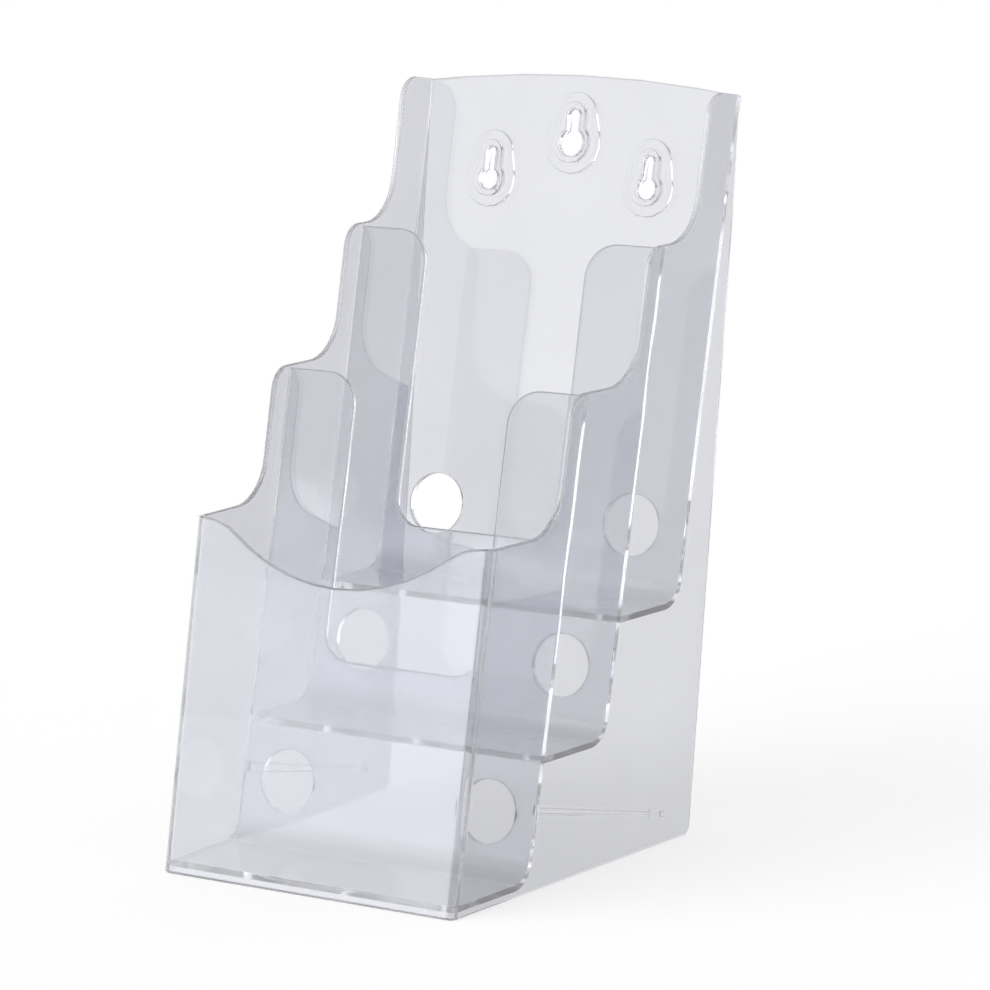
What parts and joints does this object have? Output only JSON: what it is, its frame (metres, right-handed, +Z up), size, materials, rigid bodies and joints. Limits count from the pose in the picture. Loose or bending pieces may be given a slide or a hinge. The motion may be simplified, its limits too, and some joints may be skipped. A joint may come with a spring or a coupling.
{
  "type": "brochure rack",
  "caption": "Clear stepped leaflet rack: leaning pockets between two stepped side walls, a dipped front panel, finger cut-outs and keyholes for a wall.",
  "frame": {"origin": "on the surface that the rack stands on, under the middle of its box", "axes": "+Z up, -Y to the front where the pockets open, +X to the right as seen from the front; the rack's mirror plane is X = 0"},
  "size_m": [0.123, 0.1658, 0.247],
  "materials": {
    "clear_plastic": "clear moulded plastic, polished, with a faint grey-lavender tint"
  },
  "bodies": {
    "root": {"front_panel": "clear_plastic", "left_side_wall": "clear_plastic", "right_side_wall": "clear_plastic", "front_pocket_tray": "clear_plastic", "middle_pocket_tray": "clear_plastic", "rear_pocket_tray": "clear_plastic"}
  },
  "joints": []
}
